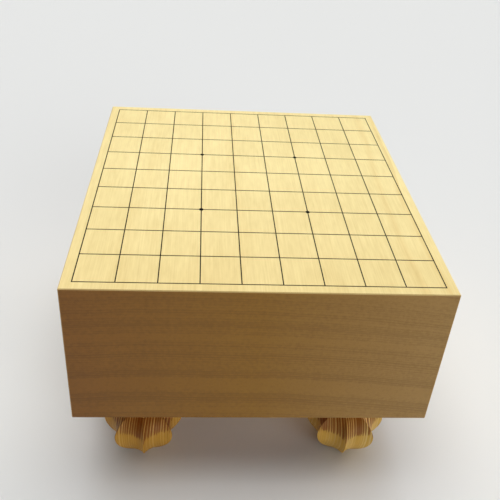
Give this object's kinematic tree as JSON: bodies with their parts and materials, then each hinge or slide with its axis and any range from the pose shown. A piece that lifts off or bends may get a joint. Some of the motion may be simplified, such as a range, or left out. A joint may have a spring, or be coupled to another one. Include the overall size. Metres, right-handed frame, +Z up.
{
  "type": "legged shogi board",
  "caption": "Thick solid wood board with a raised lacquer grid on top, standing on carved, fluted wooden legs whose square tenons draw out of mortises in its underside.",
  "frame": {"origin": "on the floor under the middle of the board, where the four feet stand", "axes": "+Z up, +Y from the near player to the far player along the grain and the longer side, +X to the near player's right"},
  "size_m": [0.333, 0.364, 0.2522],
  "materials": {
    "board_wood": "planed and waxed, straight grain along Y, end grain on the front and back faces",
    "leg_wood": "carved and waxed, grain upright",
    "lacquer": "black lacquer, slightly raised"
  },
  "bodies": {
    "block": {"board_block": "board_wood", "lacquer_grid": "lacquer", "star_front_left": "lacquer", "star_front_right": "lacquer", "star_back_left": "lacquer", "star_back_right": "lacquer"},
    "leg_front_left": {"leg_front_left": "leg_wood"},
    "leg_front_right": {"leg_front_right": "leg_wood"},
    "leg_back_left": {"leg_back_left": "leg_wood"},
    "leg_back_right": {"leg_back_right": "leg_wood"}
  },
  "joints": [
    {"name": "leg_front_left_pull", "type": "slide", "parent": "block", "child": "leg_front_left", "axis": [0, 0, -1], "range_m": [0, 0.035]},
    {"name": "leg_front_right_pull", "type": "slide", "parent": "block", "child": "leg_front_right", "axis": [0, 0, -1], "range_m": [0, 0.035]},
    {"name": "leg_back_left_pull", "type": "slide", "parent": "block", "child": "leg_back_left", "axis": [0, 0, -1], "range_m": [0, 0.035]},
    {"name": "leg_back_right_pull", "type": "slide", "parent": "block", "child": "leg_back_right", "axis": [0, 0, -1], "range_m": [0, 0.035]}
  ]
}
